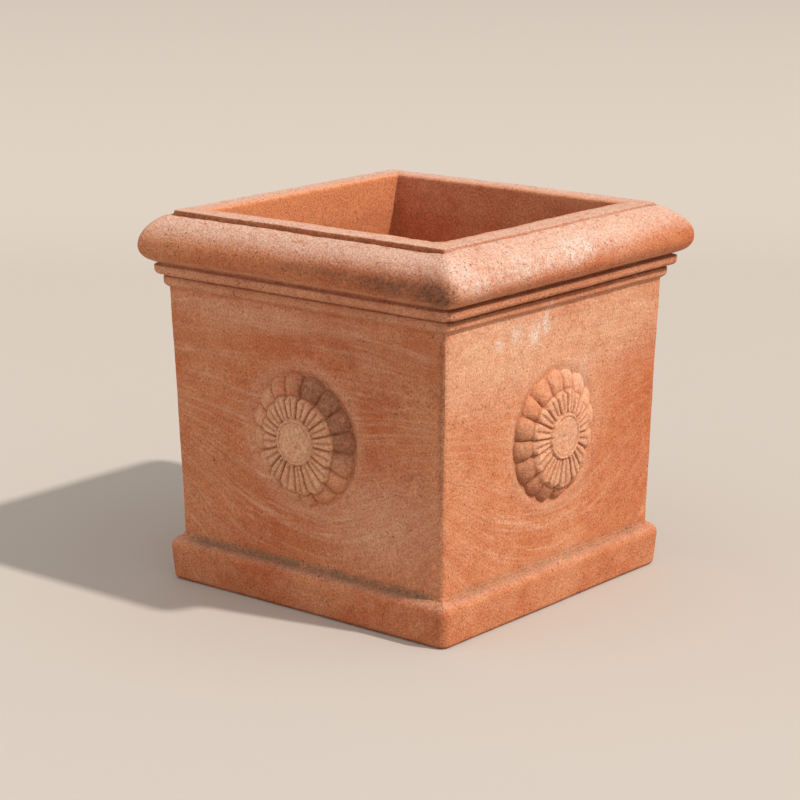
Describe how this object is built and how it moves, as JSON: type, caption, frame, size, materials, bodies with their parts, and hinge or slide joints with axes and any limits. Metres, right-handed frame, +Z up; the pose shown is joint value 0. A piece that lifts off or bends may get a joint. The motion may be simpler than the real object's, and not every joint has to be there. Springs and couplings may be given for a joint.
{
  "type": "square planter",
  "caption": "Square terracotta floor planter with leaning slab walls, a plinth, a stepped cornice, a rolled rim with a raised lip, and a pressed rosette on each side.",
  "frame": {"origin": "middle of the underside, at floor level", "axes": "+Z up; -Y is the front, the face seen on the left in the picture; +X is the right side"},
  "size_m": [0.4466, 0.4466, 0.419],
  "materials": {
    "terracotta": "matte, hand-pressed, lightly weathered"
  },
  "bodies": {
    "root": {"floor_slab": "terracotta", "front_wall": "terracotta", "right_wall": "terracotta", "back_wall": "terracotta", "left_wall": "terracotta", "front_plinth": "terracotta", "right_plinth": "terracotta", "back_plinth": "terracotta", "left_plinth": "terracotta", "front_cornice": "terracotta", "right_cornice": "terracotta", "back_cornice": "terracotta", "left_cornice": "terracotta", "front_rim": "terracotta", "right_rim": "terracotta", "back_rim": "terracotta", "left_rim": "terracotta", "front_rosette": "terracotta", "right_rosette": "terracotta", "back_rosette": "terracotta", "left_rosette": "terracotta"}
  },
  "joints": []
}
